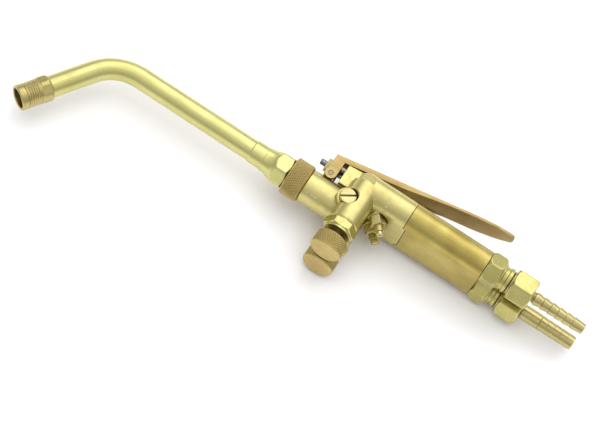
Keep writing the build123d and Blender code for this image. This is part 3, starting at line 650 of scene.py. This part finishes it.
FLATS = 17.0  # the hexagons' width across flats
FITTING_START, FITTING_END = 62.2, 89.8
HEX_BACK, HEX_FRONT, CONE_END = 66.7, 74.6, 81.7
FITTING_BORE_R, SPIGOT_R, SLEEVE_R = 4.0, 6.7, 6.45
fitting_outline = soften(
    [
        (FITTING_START, FITTING_BORE_R),
        (FITTING_START, SPIGOT_R),
        (HEX_BACK, SPIGOT_R),
        (HEX_BACK, 8.5),
        (HEX_BACK + 0.8, 9.5),
        (HEX_FRONT - 0.9, 9.55),
        (HEX_FRONT + 0.2, 8.75),
        (HEX_FRONT + 1.6, 7.85),
        (HEX_FRONT + 3.4, 7.2),
        (HEX_FRONT + 5.3, 6.85),
        (CONE_END, 6.75),
        (CONE_END + 0.05, SLEEVE_R),
        (FITTING_END - 0.6, SLEEVE_R),
        (FITTING_END, 6.2),
        (FITTING_END, TUBE_R),
        (TUBE_START, TUBE_R),
        (TUBE_START, FITTING_BORE_R),
    ],
    0.3,
    closed=True,
)
lathe(
    "neck_base_fitting_piece",
    tip_line(NECK_Y),
    dense(fitting_outline, 0.7),
    hex_angles(0),
    "neck",
    NECK,
    ["neck_base_fitting"],
    hex_shape(FLATS, 0, HEX_BACK - 0.01, HEX_FRONT + 6),
    closed=True,
)

NUT_START, NUT_END, NUT_R = 55.8, 66.4, 10.75
NUT_LIP, NUT_THREAD_R, NUT_HOLE_R = 64.9, 8.75, 6.75
nut_outline = soften(
    [
        (NUT_START, NUT_THREAD_R),
        (NUT_START, NUT_R - 1.0),
        (NUT_START + 0.7, NUT_R - 0.3),
        (NUT_START + 1.0, NUT_R),
        (NUT_END - 0.45, NUT_R),
        (NUT_END, NUT_R - 0.45),
        (NUT_END, NUT_HOLE_R),
        (NUT_LIP, NUT_HOLE_R),
        (NUT_LIP, NUT_THREAD_R),
    ],
    0.25,
    closed=True,
)
lathe(
    "neck_union_nut_piece",
    tip_line(NECK_Y),
    dense(nut_outline, 0.13),
    even_angles(432),
    "neck_union_nut",
    KNURLED,
    ["neck_union_nut"],
    knurl_shape(NUT_R, 60, 1.5, 0.32, NUT_START + 0.9, NUT_END - 0.5),
    closed=True,
)

# ------------------------------------------------------------------ tip connector
# Its x is 0 at the front face and grows less towards the neck.
TIP_BACK, TIP_SHOULDER, TIP_COLLAR = -17.6, 5.2, 4.0
TIP_R, TIP_BORE, TIP_BORE_R, TIP_GAS_R = 7.0, 9.0, 5.6, 4.0
TIP_FLATS = 13.4
TIP_SOLID_R = 6.2  # only the outside, above this radius, gets flats and thread
THREAD_START, THREAD_END = TIP_BACK + TIP_SHOULDER + 0.5, -TIP_COLLAR - 0.5
THREAD_PITCH, THREAD_DEPTH, THREAD_FADE, THREAD_TOP = 1.25, 0.42, 0.3, 0.85
THREAD_R = 6.98


def tip_shape(x, r, angle):
    """Flats on the shoulder, and the thread in front of it."""
    if TIP_BACK - TINY <= x <= TIP_BACK + TIP_SHOULDER and r > TIP_SOLID_R:
        return soft_min(r, hex_radius(TIP_FLATS, angle, 0))
    if THREAD_START <= x <= THREAD_END and r > TIP_SOLID_R:
        edge = min(1.0, (x - THREAD_START) / THREAD_FADE, (THREAD_END - x) / THREAD_FADE)
        crest = min(wave(x / THREAD_PITCH + angle / (2 * math.pi)), THREAD_TOP) / THREAD_TOP
        return r - THREAD_DEPTH * edge * (1 - crest)
    return r


tip_outline = soften(
    [
        (TIP_BACK - 1.1, TUBE_R),
        (TIP_BACK, 6.95),
        (TIP_BACK + 0.35, 7.15),
        (TIP_BACK + TIP_SHOULDER - 0.5, 7.15),
        (TIP_BACK + TIP_SHOULDER, 6.85),
        (THREAD_START, THREAD_R),
        (THREAD_END, THREAD_R),
        (THREAD_END + 0.25, 6.6),
        (-TIP_COLLAR, 6.65),
        (-TIP_COLLAR + 0.3, TIP_R),
        (-0.5, TIP_R),
        (0, 6.6),
        (0, 5.85),
        (-0.4, TIP_BORE_R),
        (-TIP_BORE, TIP_BORE_R),
        (-TIP_BORE, TIP_GAS_R),
        (TIP_BACK + 4, TIP_GAS_R),
        (TIP_BACK + 4, TUBE_R),
    ],
    0.2,
    closed=True,
)
lathe(
    "tip_connector_piece",
    place(at(BEND_CORNER, NECK_Y) + LEG_DIR * (LEG * MM), LEG_DIR, (0, 0, 1)),
    dense(tip_outline, 0.12),
    even_angles(180),
    "neck",
    FITTING,
    ["tip_connector"],
    tip_shape,
    closed=True,
)

# ------------------------------------------------------------------ inlets and hose nuts
INLET_SOCKET, INLET_HEX_END, INLET_COLLAR_END, INLET_THREAD_END = 51.0, 56.7, 62.6, 67.4
INLET_TUBE_R, INLET_GAS_R, INLET_HEX_R = 3.3, 2.2, 9.78
INLET_THREAD_R, INLET_RELIEF_R = 6.6, 5.8
HOSE_NUT_START, HOSE_NUT_END, HOSE_NUT_FLOOR = 63.8, 76.4, 73.0
HOSE_NUT_THREAD_R, HOSE_NUT_HOLE_R, HOSE_NUT_HEX_R, HOSE_NUT_FACE_R = 6.65, 4.65, 9.7, 8.3
INLET_TURNS = {"oxygen": 20, "fuel": 30}
HOSE_TURNS = {"oxygen": 3, "fuel": 47}


def inlet_outline():
    """The inlet's hexagon, waist, collar and thread, from the handle's end to the rear."""
    return soften(
        [
            (-SHELL_LENGTH, INLET_TUBE_R),
            (-SHELL_LENGTH, 8.4),
            (-48.4, 9.0),
            (-49.6, INLET_HEX_R),
            (-54.9, INLET_HEX_R),
            (-56.1, 9.0),
            (-INLET_HEX_END, 8.3),
            (-INLET_HEX_END, 7.5),
            (-57.5, 7.5),
            (-57.9, 6.4),
            (-60.0, 6.4),
            (-60.4, 7.1),
            (-62.1, 7.1),
            (-62.1, INLET_RELIEF_R),
            (-INLET_COLLAR_END, INLET_RELIEF_R),
            (-63.0, INLET_THREAD_R),
            (-66.6, INLET_THREAD_R),
            (-INLET_THREAD_END, INLET_RELIEF_R),
            (-INLET_THREAD_END, INLET_GAS_R),
            (-INLET_SOCKET, INLET_GAS_R),
            (-INLET_SOCKET, INLET_TUBE_R),
        ],
        0.3,
        closed=True,
    )


def hose_nut_outline():
    return soften(
        [
            (-HOSE_NUT_END, HOSE_NUT_HOLE_R),
            (-HOSE_NUT_END, HOSE_NUT_FACE_R),
            (-HOSE_NUT_END + 1.2, HOSE_NUT_HEX_R),
            (-HOSE_NUT_START - 1.2, HOSE_NUT_HEX_R),
            (-HOSE_NUT_START, HOSE_NUT_FACE_R),
            (-HOSE_NUT_START, HOSE_NUT_THREAD_R),
            (-HOSE_NUT_FLOOR, HOSE_NUT_THREAD_R),
            (-HOSE_NUT_FLOOR, HOSE_NUT_HOLE_R),
        ],
        0.22,
        closed=True,
    )


# ------------------------------------------------------------------ hose tails
# root is the plain part behind the nut, land the smooth ring after it, start and end the first
# barb's crest and the tail's end, pitch and depth the barbs'.
TAILS = {
    "oxygen": dict(
        root=1.8, root_r=3.0, land=1.6, land_r=3.6, start=83.2, end=108.5, pitch=4.6, depth=0.65
    ),
    "fuel": dict(
        root=0.6, root_r=4.0, land=10.8, land_r=4.3, start=88.4, end=109.0, pitch=4.1, depth=0.35
    ),
}
BARBS = 5
BARB_FALL = 0.15  # the last barb's crest is this much lower than the first's
SEAT_START, SEAT_WIDE, SEAT_END = 67.6, 69.2, 72.9
SEAT_R, SHANK_R, TAIL_GAS_R = 6.0, 4.6, 1.5


def tail_outline(tail):
    """The seat inside the nut, the root, the land, and the barbs with their slopes."""
    pitch = tail["pitch"]
    valley = tail["land_r"] - tail["depth"]
    land_start = HOSE_NUT_END + tail["root"]
    outline = [
        (-SEAT_START, TAIL_GAS_R),
        (-SEAT_START, 4.4),
        (-SEAT_WIDE, SEAT_R),
        (-SEAT_END, SEAT_R),
        (-SEAT_END, SHANK_R),
        (-HOSE_NUT_END, SHANK_R),
        (-HOSE_NUT_END, tail["root_r"] - 0.15),
        (-land_start, tail["root_r"]),
        (-land_start, tail["land_r"]),
        (-land_start - tail["land"], tail["land_r"]),
        (-tail["start"] + 0.05 * pitch, valley),
    ]
    for k in range(BARBS):
        crest = tail["start"] + k * pitch
        crest_r = tail["land_r"] - BARB_FALL * k / (BARBS - 1)
        outline += [
            (-crest - 0.02 * pitch, crest_r),
            (-crest - 0.22 * pitch, crest_r - 0.08),
            (-crest - 0.95 * pitch, valley),
        ]
    outline[-1] = (-tail["end"], valley - 0.08)
    outline.append((-tail["end"], TAIL_GAS_R))
    return soften(outline, 0.1, closed=True)


for gas, side in GASES.items():
    z = side * PORT_Z
    turn = INLET_TURNS[gas]
    lathe(
        gas + "_inlet_connector_piece",
        tip_line(0, z),
        dense(inlet_outline(), 0.5),
        hex_angles(turn),
        ROOT,
        NUTS,
        [gas + "_inlet_connector"],
        hex_shape(FLATS, turn, -INLET_HEX_END, -SHELL_LENGTH),
        closed=True,
    )
    turn = HOSE_TURNS[gas]
    lathe(
        gas + "_hose_nut_piece",
        tip_line(0, z),
        dense(hose_nut_outline(), 0.5),
        hex_angles(turn),
        gas + "_hose_nut",
        NUTS,
        [gas + "_hose_nut"],
        hex_shape(FLATS, turn, -HOSE_NUT_END, -HOSE_NUT_START),
        closed=True,
    )
    lathe(
        gas + "_hose_tail_piece",
        tip_line(0, z),
        dense(tail_outline(TAILS[gas]), 1.2),
        even_angles(96),
        ROOT,
        TAIL,
        [gas + "_hose_tail"],
        closed=True,
    )

# ------------------------------------------------------------------ needle valves
GLAND_START, BOSS_END, GLAND_HEX_END, GLAND_END = 22.5, 26.0, 30.8, 32.0
GLAND_FLATS, GLAND_HEX_R, GLAND_THREAD_R, GLAND_COLLAR_R = 16.3, 9.3, 5.5, 7.85
KNOB_START, KNOB_END, KNOB_R, KNOB_BORE = 34.8, 44.4, 8.9, 1.2
STEM_HOLE_R = 2.35
gland_outline = soften(
    [
        (GLAND_START, STEM_HOLE_R),
        (GLAND_START, GLAND_THREAD_R),
        (BOSS_END, GLAND_THREAD_R),
        (BOSS_END, 8.15),
        (26.7, GLAND_HEX_R),
        (30.1, GLAND_HEX_R),
        (GLAND_HEX_END, 8.1),
        (GLAND_HEX_END, GLAND_COLLAR_R),
        (GLAND_END, GLAND_COLLAR_R),
        (GLAND_END, STEM_HOLE_R),
    ],
    0.22,
    closed=True,
)
knob_outline = soften(
    [
        (KNOB_START, STEM_HOLE_R),
        (KNOB_START, KNOB_R - 2.2),
        (KNOB_START + 0.7, KNOB_R - 0.9),
        (KNOB_START + 1.5, KNOB_R),
        (KNOB_END - 0.8, KNOB_R),
        (KNOB_END, KNOB_R - 0.7),
        (KNOB_END, 0),
    ],
    0.3,
)
knob_floor = [(KNOB_END - KNOB_BORE, 0.0), (KNOB_END - KNOB_BORE, STEM_HOLE_R)]

for gas, side in GASES.items():
    z = side * PORT_Z
    lathe(
        gas + "_gland_nut_piece",
        valve_line(z),
        dense(gland_outline, 0.4),
        hex_angles(30),
        ROOT,
        NUTS,
        [gas + "_gland_nut"],
        hex_shape(GLAND_FLATS, 30, BOSS_END, GLAND_HEX_END),
        closed=True,
    )
    lathe(
        gas + "_knob_piece",
        valve_line(z),
        dense(knob_floor + knob_outline, 0.13),
        even_angles(378),
        gas + "_knob",
        KNURLED,
        [gas + "_knob"],
        knurl_shape(KNOB_R, 50, 1.5, 0.3, KNOB_START + 1.4, KNOB_END - 0.7),
    )

# ------------------------------------------------------------------ CAD nodes with edges broken
for gas in GASES:
    bevelled(gas + "_side_plug", 0.12, FITTING, ROOT)
    bevelled(gas + "_pilot_body", 0.15, FITTING, ROOT)
    bevelled(gas + "_pilot_screw", 0.1, FITTING, gas + "_pilot_screw")
bevelled("handle_shell", 0.12, HANDLE, ROOT)
bevelled("handle_end_plate", 0.12, FITTING, ROOT)
bevelled("lever", 0.6, LEVER, "lever", segments=4)
bevelled("stop_screw_lock_nut", 0.15, FITTING, "lever")
bevelled("stop_screw", 0.12, BLUED, "stop_screw")
bevelled("lever_pivot_pin", 0.1, PIN, ROOT)

# ------------------------------------------------------------------ valve body
VOXEL = 0.3


def smooth_body():
    """A copy of the body with its edges and inside corners rounded, as on a forging."""
    mesh = nodes["valve_body"].data.copy()
    obj = bpy.data.objects.new("valve_body_piece", mesh)
    scene.collection.objects.link(obj)
    work = bmesh.new()
    work.from_mesh(mesh)
    bmesh.ops.remove_doubles(work, verts=work.verts, dist=MERGE)
    work.to_mesh(mesh)
    work.free()
    remesh = obj.modifiers.new("remesh", "REMESH")
    remesh.mode = "VOXEL"
    remesh.voxel_size = VOXEL * MM
    relax = obj.modifiers.new("relax", "SMOOTH")
    relax.factor = 0.5
    relax.iterations = 4
    bpy.context.view_layer.update()
    graph = bpy.context.evaluated_depsgraph_get()
    final = bpy.data.meshes.new_from_object(obj.evaluated_get(graph))
    obj.modifiers.clear()
    obj.data = final
    for face in final.polygons:
        face.use_smooth = True
    finish_piece(obj, ROOT, BODY, ["valve_body"])


smooth_body()

# ------------------------------------------------------------------ CAD nodes kept as they are
KEPT = {
    "injector_nozzle": FITTING,
    "nozzle_seal": RUBBER,
    "neck_retaining_ring": FITTING,
}
for gas in GASES:
    KEPT[gas + "_gas_tube"] = FITTING
    KEPT[gas + "_stem_packing"] = PACKING
    KEPT[gas + "_valve_stem"] = FITTING
    KEPT[gas + "_plunger"] = STEEL
    KEPT[gas + "_plunger_seal"] = RUBBER
    KEPT[gas + "_plunger_spring"] = STEEL
for name, material in KEPT.items():
    nodes[name].material_slots[0].material = material

# ------------------------------------------------------------------ floor, in metres
FLOOR_REACH = 3.0
floor_corners = [(-1, -1), (1, -1), (1, 1), (-1, 1)]
floor_mesh = bpy.data.meshes.new("floor")
floor_mesh.from_pydata(
    [(x * FLOOR_REACH, y * FLOOR_REACH, 0) for x, y in floor_corners], [], [(0, 1, 2, 3)]
)
floor = bpy.data.objects.new("floor", floor_mesh)
scene.collection.objects.link(floor)
paper = bpy.data.materials.new("paper")
paper.use_nodes = True
paper_bsdf = paper.node_tree.nodes["Principled BSDF"]
paper_bsdf.inputs["Base Color"].default_value = (0.9, 0.89, 0.9, 1)
paper_bsdf.inputs["Roughness"].default_value = 0.9
paper_bsdf.inputs["Specular IOR Level"].default_value = 0.1
floor_mesh.materials.append(paper)


# ------------------------------------------------------------------ light, in metres and watts
def softbox(name, position, target, size, power):
    light = bpy.data.lights.new(name, "AREA")
    light.shape = "RECTANGLE"
    light.size, light.size_y = size
    light.energy = power
    obj = bpy.data.objects.new(name, light)
    scene.collection.objects.link(obj)
    obj.location = position
    away = Vector(position) - Vector(target)
    obj.rotation_euler = away.to_track_quat("Z", "Y").to_euler()
    return obj


softbox("key", (-0.1, -0.95, 1.0), (0, 0, 0), (2.2, 1.0), 8.0)
softbox("front", (0.12, -0.2, 1.2), (0.1, -0.05, 0), (0.4, 0.9), 1.0)
top = softbox("top", (0.1, 0.0, 1.7), (0, 0, 0), (1.8, 1.8), 14.0)
top.visible_glossy = False  # it lights the floor, and the brass doesn't mirror it

world = bpy.data.worlds.new("studio")
scene.world = world
world.use_nodes = True
tree = world.node_tree
background = tree.nodes["Background"]
background.inputs["Strength"].default_value = 1.0
coords = tree.nodes.new("ShaderNodeTexCoord")
split = tree.nodes.new("ShaderNodeSeparateXYZ")
ramp = tree.nodes.new("ShaderNodeValToRGB")
tree.links.new(coords.outputs["Generated"], split.inputs[0])
tree.links.new(split.outputs["Z"], ramp.inputs[0])
tree.links.new(ramp.outputs[0], background.inputs["Color"])
horizon, zenith = ramp.color_ramp.elements
horizon.position = 0.0
horizon.color = (0.8, 0.8, 0.8, 1)
zenith.position = 1.0
zenith.color = (1.05, 1.05, 1.05, 1)
ramp.color_ramp.elements.new(0.3).color = (0.45, 0.45, 0.45, 1)

# ------------------------------------------------------------------ camera, in metres
# Its axes and the point in the picture's middle were fitted to the photograph.
LENS, SENSOR_WIDTH, DISTANCE = 136.3, 36.0, 1.2
right = Vector((-0.83704467, -0.50826398, 0.20397104))
up = Vector((0.5450066, -0.73363695, 0.40607101))
back = Vector((-0.0571841, 0.45046926, 0.89044885))
aim = at(49.64, 28.99, -0.015) + right * -0.0002222 + up * -0.0001319
camera_data = bpy.data.cameras.new("camera")
camera_data.lens = LENS
camera_data.sensor_width = SENSOR_WIDTH
camera_data.clip_start = 0.05
camera_data.clip_end = 20
camera = bpy.data.objects.new("camera", camera_data)
scene.collection.objects.link(camera)
turn = Matrix((right, up, back)).transposed().to_4x4()
camera.matrix_world = Matrix.Translation(aim + back * DISTANCE) @ turn
scene.camera = camera
scene.view_settings.view_transform = "Standard"
